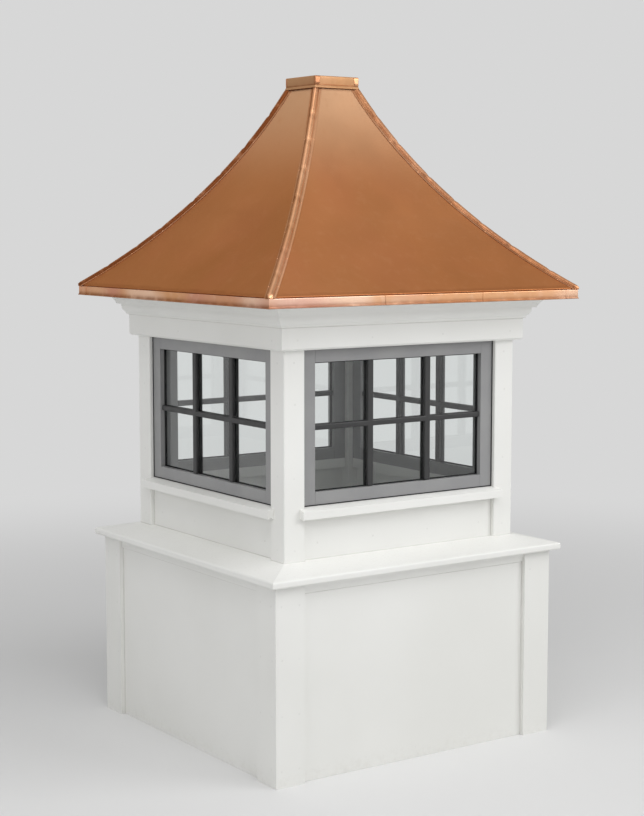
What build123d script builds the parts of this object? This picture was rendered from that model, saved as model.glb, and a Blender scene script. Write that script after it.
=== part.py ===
from build123d import *

import os
from math import atan2, degrees, hypot, sqrt

# Square roof cupola: panelled base, a six-light window in each side, and a flared copper roof.
# Millimetres, +Z up. It stands on its base, with the origin at the centre of its foot, and its
# front faces -Y. Everything repeats on four sides, so each side piece is made once for the front
# and each corner piece once for the front right corner, and both are turned about Z.

# Plan: the base's width over its corner boards, and what stands in or out from there
BASE_WIDTH = 914.4
BODY_SETBACK = 76.2
EAVE_OVERHANG = 127.0
COLLAR_WIDTH = 142.0

# Heights of the courses, from the foot up
BASE_WALL_HEIGHT = 520.0
BASE_CAP_THICKNESS = 40.0
APRON_HEIGHT = 110.0
SILL_HEIGHT = 30.0
FRAME_HEIGHT = 407.0
FRIEZE_HEIGHT = 120.0
DECK_THICKNESS = 18.0
FLARE_RISE = 545.3
UPSTAND_HEIGHT = 35.5

# Base
BASE_WALL_THICKNESS = 19.0
CORNER_BOARD_WIDTH = 89.0
CORNER_BOARD_THICKNESS = 12.7
COVE_HEIGHT = 26.0
COVE_PROJECTION = 11.0
COVE_LIP = 4.0
BASE_CAP_OVERHANG = 22.0
BASE_CAP_NOSE_HEIGHT = 19.0
BASE_CAP_NOSE_RADIUS = 6.0
BASE_CAP_WEATHERING_GAP = 3.0
DRIP_GROOVE_WIDTH = 6.0
DRIP_GROOVE_DEPTH = 3.0

# Body
POST_WIDTH = 64.0
POST_EASE = 3.0
APRON_THICKNESS = 19.0
SILL_PROJECTION = 18.0
SILL_HORN = 16.0
SILL_DROP = 8.0
FRIEZE_PROJECTION = 19.0
FRIEZE_CHAMFER = 5.0
CROWN_HEIGHT = 60.0
CROWN_PROJECTION = 30.0
CROWN_FOOT = 6.0
CROWN_FOOT_HEIGHT = 5.0
CROWN_TOP_HEIGHT = 11.0
CROWN_TOP_STEP = 3.0
CROWN_CURVE_SAG = 3.2

# Windows
FRAME_RECESS = 12.0
FRAME_DEPTH = 35.0
STILE_WIDTH = 40.6
RAIL_HEIGHT = 35.0
FRAME_JOINT_GAP = 0.3
GLASS_THICKNESS = 4.0
GLASS_BITE = 6.0
GLASS_CLEARANCE = 0.3

# Copper roof
COPPER_FOLD = 1.5
ROOF_PANEL_THICKNESS = 7.0
FLARE_SAG = 43.0
DRIP_EDGE_DROP = 6.0
DRIP_EDGE_FLANGE = 14.0
DRIP_EDGE_KICK = 3.0
DRIP_EDGE_SETBACK = 3.0
LAP_LENGTH = 25.0
LAP_THICKNESS = 0.8
LAP_PLACES = (-140.0, 180.0)
HIP_WING_WIDTH = 14.0
HIP_WING_THICKNESS = 1.2
HIP_FOLD_FOOT = 18.0
HIP_FOLD_TOP = 8.0
HIP_FOLD_HEIGHT = 7.0
ROOF_CAP_SKIRT = 33.0
ROOF_CAP_CLEARANCE = 0.3
ROOF_CAP_EASE = 1.0

# Levels that follow from the heights
BASE_CAP_TOP = BASE_WALL_HEIGHT + BASE_CAP_THICKNESS
SILL_BOTTOM = BASE_CAP_TOP + APRON_HEIGHT
FRAME_BOTTOM = SILL_BOTTOM + SILL_HEIGHT
FRAME_TOP = FRAME_BOTTOM + FRAME_HEIGHT
DECK_BOTTOM = FRAME_TOP + FRIEZE_HEIGHT
DECK_TOP = DECK_BOTTOM + DECK_THICKNESS
EAVE_LEVEL = DECK_TOP + COPPER_FOLD
FLARE_TOP = EAVE_LEVEL + FLARE_RISE
UPSTAND_TOP = FLARE_TOP + UPSTAND_HEIGHT
TOTAL_HEIGHT = UPSTAND_TOP + COPPER_FOLD

# Distances of the main faces from the centre line
BASE_FACE = BASE_WIDTH / 2
WALL_FACE = BASE_FACE - CORNER_BOARD_THICKNESS
BODY_FACE = BASE_FACE - BODY_SETBACK
BODY_INNER = BODY_FACE - POST_WIDTH
FRAME_FACE = BODY_FACE - FRAME_RECESS
FRAME_INNER = FRAME_FACE - FRAME_DEPTH
FRIEZE_FACE = BODY_FACE + FRIEZE_PROJECTION
EAVE_FACE = BODY_FACE + EAVE_OVERHANG
FASCIA_FACE = EAVE_FACE - DRIP_EDGE_SETBACK
DECK_FACE = FASCIA_FACE - COPPER_FOLD
COLLAR_FACE = COLLAR_WIDTH / 2

# Stock is made this long to each side of the centre, then cut or mitred to its place
STOCK_REACH = BASE_WIDTH + EAVE_OVERHANG

# Upright section plane of the front side: u runs outward from the centre line, v runs up
SECTION = Plane(origin=(0, 0, 0), x_dir=(0, -1, 0), z_dir=(-1, 0, 0))
# Upright plane through the front right hip: u runs outward along the diagonal, v runs up
DIAGONAL = Plane(origin=(0, 0, 0), x_dir=(1, -1, 0), z_dir=(-1, -1, 0))

SIDES = {"front": 0, "right": 90, "back": 180, "left": 270}
CORNERS = {"front_right": 0, "back_right": 90, "back_left": 180, "front_left": 270}


def block(x_range, u_range, z_range):
    """A square-edged block on the front side; u_range is its distance out from the centre."""
    size = [high - low for low, high in (x_range, u_range, z_range)]
    centre = (sum(x_range) / 2, -sum(u_range) / 2, sum(z_range) / 2)
    return Pos(*centre) * Box(*size)


def section(*edges):
    """A closed outline of edges in (u, v), laid on the front side's section plane."""
    return SECTION * make_face(list(edges))


def outline(*points):
    """A straight-sided closed outline of (u, v) points on the section plane."""
    return section(Polyline(*points, close=True))


def run(profile, half_length):
    """A length of moulding along the front, cut square at both ends."""
    return extrude(profile, amount=half_length, both=True)


def front_quarter():
    """The quarter of the plan in front of both diagonals, as tall as the cupola."""
    plan = Polygon((0, 0), (-STOCK_REACH, -STOCK_REACH), (STOCK_REACH, -STOCK_REACH), align=None)
    return extrude(plan, amount=TOTAL_HEIGHT)


def mitred(profile):
    """A length of moulding along the front, mitred to meet the two sides on the diagonals."""
    return run(profile, STOCK_REACH) & front_quarter()


def turned(shape, angle):
    """The shape turned about the cupola's upright centre line."""
    return Rot(0, 0, angle) * shape


def four(shape):
    """Four copies of a piece that don't touch each other, one to a side or corner."""
    return Compound([solid for angle in SIDES.values() for solid in turned(shape, angle).solids()])


# Base

def base_wall():
    """One board of the base, mitred to its neighbours behind the corner boards."""
    inner = WALL_FACE - BASE_WALL_THICKNESS
    return mitred(
        outline(
            (inner, 0),
            (WALL_FACE, 0),
            (WALL_FACE, BASE_WALL_HEIGHT),
            (inner, BASE_WALL_HEIGHT),
        )
    )


def base_corner_board():
    """The L-shaped corner board over the front right mitre of the base."""
    far = BASE_FACE
    edge = BASE_FACE - CORNER_BOARD_WIDTH
    plan = Polygon(
        (far, -far),
        (far, -edge),
        (WALL_FACE, -edge),
        (WALL_FACE, -WALL_FACE),
        (edge, -WALL_FACE),
        (edge, -far),
        align=None,
    )
    return extrude(plan, amount=BASE_WALL_HEIGHT)


def base_cove():
    """The cove under the front base cap, run between the corner boards."""
    top = BASE_WALL_HEIGHT
    foot = top - COVE_HEIGHT
    nose = WALL_FACE + COVE_PROJECTION
    lip_out = (nose, top - COVE_LIP)
    lip_in = (WALL_FACE + COVE_LIP, foot)
    hollow = (
        (lip_out[0] + 2 * lip_in[0]) / 3,
        (2 * lip_out[1] + lip_in[1]) / 3,
    )
    profile = section(
        Polyline(lip_in, (WALL_FACE, foot), (WALL_FACE, top), (nose, top), lip_out),
        ThreePointArc(lip_out, hollow, lip_in),
    )
    return run(profile, BASE_FACE - CORNER_BOARD_WIDTH)


def base_cap():
    """The weathered cap on the base: a flat seat for the body, a fall to the nose, and a drip."""
    nose = BASE_FACE + BASE_CAP_OVERHANG
    shoulder = BODY_FACE + BASE_CAP_WEATHERING_GAP
    nose_top = BASE_WALL_HEIGHT + BASE_CAP_NOSE_HEIGHT
    groove_in = BASE_FACE + (BASE_CAP_OVERHANG - BASE_CAP_NOSE_RADIUS - DRIP_GROOVE_WIDTH) / 2
    groove_out = groove_in + DRIP_GROOVE_WIDTH
    groove_top = BASE_WALL_HEIGHT + DRIP_GROOVE_DEPTH
    face = make_face(
        Polyline(
            (BODY_INNER, BASE_WALL_HEIGHT),
            (groove_in, BASE_WALL_HEIGHT),
            (groove_in, groove_top),
            (groove_out, groove_top),
            (groove_out, BASE_WALL_HEIGHT),
            (nose, BASE_WALL_HEIGHT),
            (nose, nose_top),
            (shoulder, BASE_CAP_TOP),
            (BODY_INNER, BASE_CAP_TOP),
            close=True,
        )
    )
    nose_corners = face.vertices().sort_by(Axis.X)[-2:]
    return mitred(SECTION * fillet(nose_corners, BASE_CAP_NOSE_RADIUS))


# Body

def corner_post():
    """The square post at the front right corner of the body, with eased edges."""
    centre = BODY_FACE - POST_WIDTH / 2
    plan = Pos(centre, -centre, BASE_CAP_TOP) * RectangleRounded(POST_WIDTH, POST_WIDTH, POST_EASE)
    return extrude(plan, amount=FRAME_TOP - BASE_CAP_TOP)


def apron_board():
    """The board under the front sill, between the posts."""
    return block(
        (-BODY_INNER, BODY_INNER),
        (FRAME_FACE - APRON_THICKNESS, FRAME_FACE),
        (BASE_CAP_TOP, SILL_BOTTOM),
    )


def window_sill():
    """The front sill: flat under the window frame, weathered in front, horns over the posts."""
    nose = BODY_FACE + SILL_PROJECTION
    nose_top = FRAME_BOTTOM - SILL_DROP
    groove_in = BODY_FACE + (SILL_PROJECTION - DRIP_GROOVE_WIDTH) / 2
    groove_out = groove_in + DRIP_GROOVE_WIDTH
    groove_top = SILL_BOTTOM + DRIP_GROOVE_DEPTH
    profile = outline(
        (FRAME_INNER, SILL_BOTTOM),
        (groove_in, SILL_BOTTOM),
        (groove_in, groove_top),
        (groove_out, groove_top),
        (groove_out, SILL_BOTTOM),
        (nose, SILL_BOTTOM),
        (nose, nose_top),
        (FRAME_FACE, FRAME_BOTTOM),
        (FRAME_INNER, FRAME_BOTTOM),
    )
    horn_reach = BODY_INNER + SILL_HORN
    in_front = block(
        (-horn_reach, horn_reach), (BODY_FACE, STOCK_REACH), (SILL_BOTTOM, FRAME_BOTTOM)
    )
    return run(profile, BODY_INNER) + (run(profile, horn_reach) & in_front)


def frieze_beam():
    """The beam over the front window and posts that carries the roof deck and the crown."""
    return mitred(
        outline(
            (BODY_INNER, FRAME_TOP),
            (FRIEZE_FACE - FRIEZE_CHAMFER, FRAME_TOP),
            (FRIEZE_FACE, FRAME_TOP + FRIEZE_CHAMFER),
            (FRIEZE_FACE, DECK_BOTTOM),
            (BODY_INNER, DECK_BOTTOM),
        )
    )


def crown_moulding():
    """The crown under the soffit: a fillet, a curve that bellies then hollows, a square top."""
    foot = DECK_BOTTOM - CROWN_HEIGHT
    top = FRIEZE_FACE + CROWN_PROJECTION
    curve_foot = (FRIEZE_FACE + CROWN_FOOT, foot + CROWN_FOOT_HEIGHT)
    curve_top = (top - CROWN_TOP_STEP, DECK_BOTTOM - CROWN_TOP_HEIGHT)
    middle = ((curve_foot[0] + curve_top[0]) / 2, (curve_foot[1] + curve_top[1]) / 2)
    return mitred(
        section(
            SagittaArc(curve_foot, middle, -CROWN_CURVE_SAG),
            SagittaArc(middle, curve_top, CROWN_CURVE_SAG),
            Polyline(
                curve_top,
                (top, DECK_BOTTOM - CROWN_TOP_HEIGHT),
                (top, DECK_BOTTOM),
                (FRIEZE_FACE, DECK_BOTTOM),
                (FRIEZE_FACE, foot),
                (FRIEZE_FACE + CROWN_FOOT, foot),
                curve_foot,
            ),
        )
    )


# Windows

GLASS_U = (FRAME_FACE + FRAME_INNER) / 2
GLASS_SPAN = (GLASS_U - GLASS_THICKNESS / 2, GLASS_U + GLASS_THICKNESS / 2)
GROOVE_SPAN = (GLASS_SPAN[0] - GLASS_CLEARANCE, GLASS_SPAN[1] + GLASS_CLEARANCE)
GROOVE_DEPTH = GLASS_BITE + GLASS_CLEARANCE
SIGHT_HALF_WIDTH = BODY_INNER - STILE_WIDTH
SIGHT_BOTTOM = FRAME_BOTTOM + RAIL_HEIGHT
SIGHT_TOP = FRAME_TOP - RAIL_HEIGHT


def window_frame():
    """The front window frame: two full-height stiles, two rails butted between them, and a
    groove all round for the glass."""
    depth = (FRAME_INNER, FRAME_FACE)
    rail_half = SIGHT_HALF_WIDTH - FRAME_JOINT_GAP
    stile = block((SIGHT_HALF_WIDTH, BODY_INNER), depth, (FRAME_BOTTOM, FRAME_TOP))
    rails = [
        block((-rail_half, rail_half), depth, (FRAME_BOTTOM, SIGHT_BOTTOM)),
        block((-rail_half, rail_half), depth, (SIGHT_TOP, FRAME_TOP)),
    ]
    groove_half = SIGHT_HALF_WIDTH + GROOVE_DEPTH
    groove = block(
        (-groove_half, groove_half),
        GROOVE_SPAN,
        (SIGHT_BOTTOM - GROOVE_DEPTH, SIGHT_TOP + GROOVE_DEPTH),
    )
    pieces = [stile, mirror(stile, about=Plane.YZ), *rails]
    return Compound([solid for piece in pieces for solid in (piece - groove).solids()])


def window_glass():
    """The front window's single sheet of glass, held in the frame's groove."""
    half = SIGHT_HALF_WIDTH + GLASS_BITE
    return block((-half, half), GLASS_SPAN, (SIGHT_BOTTOM - GLASS_BITE, SIGHT_TOP + GLASS_BITE))


# Roof

def roof_deck():
    """The flat board under the roof: the ceiling of the body and the soffit outside it."""
    return block((-DECK_FACE, DECK_FACE), (-DECK_FACE, DECK_FACE), (DECK_BOTTOM, DECK_TOP))


def drip_edge():
    """The folded copper strip along the front eave, in three lengths lapped end to end."""
    foot = DECK_BOTTOM - DRIP_EDGE_DROP
    kick_top = foot + DRIP_EDGE_KICK
    strip = mitred(
        outline(
            (DECK_FACE - DRIP_EDGE_FLANGE, DECK_TOP),
            (DECK_FACE - DRIP_EDGE_FLANGE, EAVE_LEVEL),
            (FASCIA_FACE, EAVE_LEVEL),
            (FASCIA_FACE, kick_top),
            (FASCIA_FACE + DRIP_EDGE_KICK, foot),
            (DECK_FACE + DRIP_EDGE_KICK - COPPER_FOLD, foot),
            (DECK_FACE, kick_top),
            (DECK_FACE, DECK_TOP),
        )
    )
    laps = [
        block(
            (place - LAP_LENGTH / 2, place + LAP_LENGTH / 2),
            (FASCIA_FACE, FASCIA_FACE + LAP_THICKNESS),
            (kick_top, EAVE_LEVEL),
        )
        for place in LAP_PLACES
    ]
    return strip + laps


# The flare is one arc from the eave to the foot of the upstand, hollow side out, so its
# centre lies outside the roof. Parallel surfaces are arcs about the same centre.
FLARE_CHORD = hypot(EAVE_FACE - COLLAR_FACE, FLARE_RISE)
FLARE_RADIUS = (FLARE_CHORD**2 / 4 + FLARE_SAG**2) / (2 * FLARE_SAG)
CENTRE_FROM_CHORD = FLARE_RADIUS - FLARE_SAG
FLARE_CENTRE = (
    (EAVE_FACE + COLLAR_FACE) / 2 + CENTRE_FROM_CHORD * FLARE_RISE / FLARE_CHORD,
    (EAVE_LEVEL + FLARE_TOP) / 2
    + CENTRE_FROM_CHORD * (EAVE_FACE - COLLAR_FACE) / FLARE_CHORD,
)


def flare_at_level(level, outward=0.0):
    """The point (u, v) of the flare's surface at a level, moved outward along its normal."""
    radius = FLARE_RADIUS - outward
    drop = level - FLARE_CENTRE[1]
    return (FLARE_CENTRE[0] - sqrt(radius**2 - drop**2), level)


def flare_at_reach(reach, outward=0.0):
    """The point (u, v) of the flare's surface at a distance from the centre line."""
    radius = FLARE_RADIUS - outward
    inset = reach - FLARE_CENTRE[0]
    return (reach, FLARE_CENTRE[1] - sqrt(radius**2 - inset**2))


def flare_arc(start, end, outward=0.0):
    """The arc of the flare's surface, moved outward, between two of its points."""
    return ThreePointArc(start, flare_at_level((start[1] + end[1]) / 2, outward), end)


def flare_band(inner, outer, top):
    """The section between two surfaces parallel to the flare, with its upstand, up to a level.
    The offsets are positive outward."""
    inner_foot = flare_at_level(EAVE_LEVEL, inner)
    outer_foot = flare_at_level(EAVE_LEVEL, outer)
    inner_knee = flare_at_reach(COLLAR_FACE + inner, inner)
    outer_knee = flare_at_reach(COLLAR_FACE + outer, outer)
    return section(
        flare_arc(inner_foot, inner_knee, inner),
        Polyline(inner_knee, (inner_knee[0], top), (outer_knee[0], top), outer_knee),
        flare_arc(outer_knee, outer_foot, outer),
        Line(outer_foot, inner_foot),
    )


def roof_panel():
    """The front sheet of the roof: flared, with an upstand at the top, cut on the hips."""
    return mitred(flare_band(-ROOF_PANEL_THICKNESS, 0, UPSTAND_TOP))


def hip_cap(panels):
    """The cap on the front right hip: two wings that lie on the panels and a fold between."""
    wing_top = TOTAL_HEIGHT - ROOF_CAP_SKIRT - ROOF_CAP_CLEARANCE
    wing_band = flare_band(0, HIP_WING_THICKNESS, wing_top)
    both_sides = mitred(wing_band) + turned(mitred(wing_band), SIDES["right"])
    hip_strip = turned(
        block((-HIP_WING_WIDTH, HIP_WING_WIDTH), (0, STOCK_REACH), (EAVE_LEVEL, wing_top)), 45
    )
    within_eaves = block((-EAVE_FACE, EAVE_FACE), (-EAVE_FACE, EAVE_FACE), (EAVE_LEVEL, wing_top))
    cap = ((both_sides & hip_strip) + hip_fold()) & within_eaves
    cap = cap - panels[0] - panels[1]
    return cap.solids().sort_by(SortBy.VOLUME)[-1]


def hip_fold():
    """The raised fold along the front right hip. Seen square to the diagonal, the flare's arc
    is stretched by the square root of two, so the hip is an arc of an ellipse."""
    foot = flare_at_level(EAVE_LEVEL - HIP_FOLD_HEIGHT)
    head = flare_at_reach(COLLAR_FACE - HIP_FOLD_HEIGHT)
    foot_angle, head_angle = [
        degrees(atan2(v - FLARE_CENTRE[1], u - FLARE_CENTRE[0])) % 360 for u, v in (foot, head)
    ]
    hip_line = DIAGONAL * EllipticalCenterArc(
        (sqrt(2) * FLARE_CENTRE[0], FLARE_CENTRE[1]),
        sqrt(2) * FLARE_RADIUS,
        FLARE_RADIUS,
        start_angle=foot_angle,
        arc_size=head_angle - foot_angle,
    )
    across = Plane(origin=hip_line @ 0, x_dir=DIAGONAL.z_dir, z_dir=hip_line % 0)
    outward = 1 if across.y_dir.Z > 0 else -1
    profile = Polygon(
        (-HIP_FOLD_FOOT / 2, -outward * HIP_FOLD_HEIGHT),
        (HIP_FOLD_FOOT / 2, -outward * HIP_FOLD_HEIGHT),
        (HIP_FOLD_FOOT / 2, 0),
        (HIP_FOLD_TOP / 2, outward * HIP_FOLD_HEIGHT),
        (-HIP_FOLD_TOP / 2, outward * HIP_FOLD_HEIGHT),
        (-HIP_FOLD_FOOT / 2, 0),
        align=None,
    )
    return sweep(across * profile, path=hip_line)


def roof_cap():
    """The folded square cap over the four upstands; a finial or vane stands on its top."""
    inner = COLLAR_FACE + ROOF_CAP_CLEARANCE
    outer = inner + COPPER_FOLD
    foot = TOTAL_HEIGHT - ROOF_CAP_SKIRT
    pan = block((-outer, outer), (-outer, outer), (foot, TOTAL_HEIGHT))
    upright = pan.edges().filter_by(Axis.Z)
    pan = fillet(upright, ROOF_CAP_EASE)
    return pan - block((-inner, inner), (-inner, inner), (foot, UPSTAND_TOP))


def build():
    """Every node of the cupola, by name."""
    nodes = {
        "base_corner_boards": four(base_corner_board()),
        "base_cove_mouldings": four(base_cove()),
        "apron_boards": four(apron_board()),
        "window_sills": four(window_sill()),
        "window_panes": four(window_glass()),
        "roof_deck": roof_deck(),
        "roof_cap": roof_cap(),
    }
    front_pieces = {
        "base_wall": base_wall(),
        "base_cap": base_cap(),
        "window_frame": window_frame(),
        "frieze_beam": frieze_beam(),
        "crown_moulding": crown_moulding(),
        "drip_edge": drip_edge(),
        "roof_panel": roof_panel(),
    }
    front_panel = front_pieces["roof_panel"]
    corner_pieces = {
        "corner_post": corner_post(),
        "hip_cap": hip_cap([front_panel, turned(front_panel, SIDES["right"])]),
    }
    for piece, shape in front_pieces.items():
        for side, angle in SIDES.items():
            nodes[f"{piece}_{side}"] = turned(shape, angle)
    for piece, shape in corner_pieces.items():
        for corner, angle in CORNERS.items():
            nodes[f"{piece}_{corner}"] = turned(shape, angle)
    return nodes


os.makedirs("parts", exist_ok=True)
for name, shape in build().items():
    export_step(shape, f"parts/{name}.step")
print("overall height", TOTAL_HEIGHT, "flare radius", round(FLARE_RADIUS, 1))
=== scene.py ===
import math

import bmesh
import bpy
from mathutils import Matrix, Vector, noise


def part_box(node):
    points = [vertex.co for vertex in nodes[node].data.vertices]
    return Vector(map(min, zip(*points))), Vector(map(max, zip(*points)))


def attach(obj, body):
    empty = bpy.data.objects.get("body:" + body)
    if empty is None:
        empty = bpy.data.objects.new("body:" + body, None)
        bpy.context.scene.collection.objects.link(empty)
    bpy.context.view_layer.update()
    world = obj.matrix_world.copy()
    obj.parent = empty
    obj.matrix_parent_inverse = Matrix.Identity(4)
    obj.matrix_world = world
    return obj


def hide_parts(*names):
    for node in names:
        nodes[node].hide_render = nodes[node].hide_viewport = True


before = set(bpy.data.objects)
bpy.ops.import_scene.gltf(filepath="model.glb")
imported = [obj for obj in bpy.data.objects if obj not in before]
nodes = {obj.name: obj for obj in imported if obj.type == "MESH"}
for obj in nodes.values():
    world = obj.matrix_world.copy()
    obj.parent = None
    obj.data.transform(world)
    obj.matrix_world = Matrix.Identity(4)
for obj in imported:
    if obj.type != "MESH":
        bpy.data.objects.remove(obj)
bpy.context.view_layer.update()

# The cupola stands on z = 0 and its front faces -Y. Lengths are in metres. A piece is made for the
# front side, or for the front right corner, and turned about the upright axis to its place.
MM = 0.001
SIDES = {"front": 0.0, "right": 90.0, "back": 180.0, "left": 270.0}
CORNERS = {"front_right": 0.0, "back_right": 90.0, "back_left": 180.0, "front_left": 270.0}

# Base and body, read from the frame. A REACH is how far a face lies from the centre line.
post_low, post_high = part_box("corner_post_front_right")
crown_low, crown_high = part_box("crown_moulding_front")
apron_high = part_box("apron_boards")[1]
BASE_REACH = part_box("base_corner_boards")[1].x
WALL_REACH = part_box("base_wall_right")[1].x
BOARD_EDGE = BASE_REACH - 89 * MM
COVE_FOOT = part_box("base_cove_mouldings")[0].z
BODY_FOOT = post_low.z
BODY_REACH = post_high.x
POST_EDGE = post_low.x
APRON_REACH = apron_high.x
SILL_FOOT = apron_high.z
FRIEZE_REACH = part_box("frieze_beam_front")[1].x

# Windows, read from the frame, with the widths of stiles, rails and bars
sash_low, sash_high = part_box("window_frame_front")
FRAME_FACE = -sash_low.y
GLASS_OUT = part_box("window_panes")[1].x
GLASS_IN = GLASS_OUT - 4 * MM
STILE_WIDTH = 40.6 * MM
RAIL_HEIGHT = 35 * MM
UPRIGHT_BAR = 19 * MM
CROSS_BAR = 15.2 * MM

# Roof, read from the frame, with the flare's own sizes: one arc from the eave to the collar
panel_low, panel_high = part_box("roof_panel_front")
cap_low, cap_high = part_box("roof_cap")
EAVE_REACH = -panel_low.y
EAVE_LEVEL = panel_low.z
DRIP_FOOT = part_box("drip_edge_front")[0].z
UPSTAND_TOP = panel_high.z
SKIRT_FOOT = cap_low.z
CAP_REACH = cap_high.x
TOTAL_HEIGHT = cap_high.z
COLLAR_REACH = 71 * MM
FLARE_RISE = 545.3 * MM
FLARE_SAG = 43 * MM


# Materials

class Nodes:
    """A node tree that is written as a chain of short calls."""

    def __init__(self, tree):
        self.tree = tree

    def add(self, kind, inputs=None, **settings):
        node = self.tree.nodes.new(kind)
        for key, value in settings.items():
            setattr(node, key, value)
        for key, value in (inputs or {}).items():
            self.feed(node.inputs[key], value)
        return node

    def feed(self, socket, value):
        if isinstance(value, bpy.types.NodeSocket):
            self.tree.links.new(value, socket)
        else:
            socket.default_value = value

    def math(self, operation, first, second):
        return self.add("ShaderNodeMath", {0: first, 1: second}, operation=operation).outputs[0]

    def spread(self, value, low, high, to_low=0.0, to_high=1.0):
        """A smooth step of the value from low to high, onto to_low to to_high."""
        node = self.add(
            "ShaderNodeMapRange",
            {0: value, 1: low, 2: high, 3: to_low, 4: to_high},
            interpolation_type="SMOOTHSTEP",
        )
        return node.outputs["Result"]

    def blend(self, amount, first, second):
        """A mix of two colours."""
        mix = self.add("ShaderNodeMix", {0: amount, 6: first, 7: second}, data_type="RGBA")
        return mix.outputs[2]


class Shader(Nodes):
    """A node material. Noise scales are per metre."""

    def __init__(self, name, **constants):
        self.material = bpy.data.materials.new(name)
        self.material.use_nodes = True
        super().__init__(self.material.node_tree)
        self.surface = self.tree.nodes["Principled BSDF"]
        for socket, value in constants.items():
            self.surface.inputs[socket.replace("_", " ")].default_value = value
        self.place = self.add("ShaderNodeTexCoord").outputs["Object"]

    def stretched(self, scale):
        """The object's coordinates, scaled along each axis."""
        node = self.add("ShaderNodeMapping", {"Vector": self.place, "Scale": scale})
        return node.outputs["Vector"]

    def noise(self, scale, detail=3.0, rough=0.5, where=None, distort=0.0):
        look = {"Scale": scale, "Detail": detail, "Roughness": rough, "Distortion": distort}
        node = self.add("ShaderNodeTexNoise", {"Vector": where or self.place, **look})
        return node.outputs["Fac"]

    def part(self, axis):
        """One of the object's coordinates."""
        return self.add("ShaderNodeSeparateXYZ", {"Vector": self.place}).outputs[axis]

    def upward(self):
        """1 where the surface faces up, 0 where it is upright."""
        geometry = self.add("ShaderNodeNewGeometry")
        node = self.add("ShaderNodeSeparateXYZ", {"Vector": geometry.outputs["Normal"]})
        return self.math("MAXIMUM", node.outputs["Z"], 0.0)

    def set(self, socket, value):
        self.feed(self.surface.inputs[socket], value)

    def bump(self, height, depth, strength):
        """depth is how far the height's full range stands out, in metres."""
        look = {"Distance": depth, "Strength": strength}
        node = self.add("ShaderNodeBump", {"Height": height, **look})
        self.set("Normal", node.outputs["Normal"])


def srgb(red, green, blue):
    """A screen colour, 0 to 255, as a linear colour."""
    linear = [
        value / 12.92 if value <= 0.04045 else ((value + 0.055) / 1.055) ** 2.4
        for value in (red / 255, green / 255, blue / 255)
    ]
    return (*linear, 1.0)


DUST = srgb(200, 197, 189)
SPLASH = srgb(190, 185, 175)
SPLASH_HEIGHT = 0.06
# A dark brown for tarnish, also laid on as painted shade along seams, creases and the eave
TARNISH_AND_SHADE = srgb(126, 70, 38)
# The copper panels are painted paler between these two levels, as painted reflection
PALER_FROM = 1.50
PALER_TO = 1.80


def painted_trim(name, clean, worn):
    """Smooth cellular trim board with a roller coat of paint, a little dusty on its ledges and
    splashed at its foot."""
    shader = Shader(name, Metallic=0.0, Specular_IOR_Level=0.45)
    broad = shader.noise(1.3)
    colour = shader.blend(shader.spread(broad, 0.3, 0.7), clean, worn)
    ledge = shader.spread(shader.upward(), 0.5, 0.98)
    specks = shader.spread(shader.noise(160.0, detail=5.0, rough=0.7), 0.5, 0.8)
    dust = shader.math("MULTIPLY", shader.math("MULTIPLY", ledge, specks), 0.3)
    colour = shader.blend(dust, colour, DUST)
    splash_height = shader.spread(shader.part("Z"), 0.0, SPLASH_HEIGHT, 1.0, 0.0)
    splash_edge = shader.spread(shader.noise(60.0, detail=5.0, rough=0.7), 0.42, 0.75)
    splash = shader.math("MULTIPLY", shader.math("MULTIPLY", splash_height, splash_edge), 0.16)
    shader.set("Base Color", shader.blend(splash, colour, SPLASH))
    shader.set("Roughness", shader.spread(shader.noise(14.0, detail=4.0), 0.3, 0.7, 0.38, 0.56))
    stipple = shader.noise(620.0, detail=2.0, rough=0.4)
    sheet = shader.noise(5.0, detail=1.0)
    height = shader.math("ADD", stipple, shader.math("MULTIPLY", sheet, 6.0))
    shader.bump(height, 0.12 * MM, 0.55)
    return shader.material


def satin_paint(name, colour, darker, rough):
    """Factory-finished stock or a brushed filler: an even satin coat, faintly mottled."""
    shader = Shader(name, Metallic=0.0, Specular_IOR_Level=0.5)
    patch = shader.spread(shader.noise(9.0, detail=4.0), 0.3, 0.7)
    shader.set("Base Color", shader.blend(patch, colour, darker))
    shader.set("Roughness", shader.spread(shader.noise(30.0), 0.3, 0.7, *rough))
    shader.bump(shader.noise(900.0, detail=2.0), 0.06 * MM, 0.6)
    return shader.material


def rubber(name):
    """Black glazing rubber, dulled in patches."""
    shader = Shader(name, Metallic=0.0, Specular_IOR_Level=0.3)
    patch = shader.noise(60.0)
    shader.set("Base Color", shader.blend(patch, srgb(16, 16, 17), srgb(34, 34, 36)))
    shader.set("Roughness", shader.spread(patch, 0.3, 0.7, 0.5, 0.72))
    shader.bump(shader.noise(1200.0, detail=2.0), 0.08 * MM, 0.6)
    return shader.material


def clear_glass(name):
    """Window glass with a faint film and a slight waviness."""
    clear = (0.97, 0.99, 0.985, 1.0)
    shader = Shader(name, Metallic=0.0, IOR=1.5, Transmission_Weight=1.0, Base_Color=clear)
    film = shader.noise(7.0, detail=5.0, rough=0.6)
    shader.set("Roughness", shader.spread(film, 0.45, 0.8, 0.0, 0.035))
    shader.bump(shader.noise(3.0, detail=1.0), 0.4 * MM, 0.35)
    return shader.material


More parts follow.
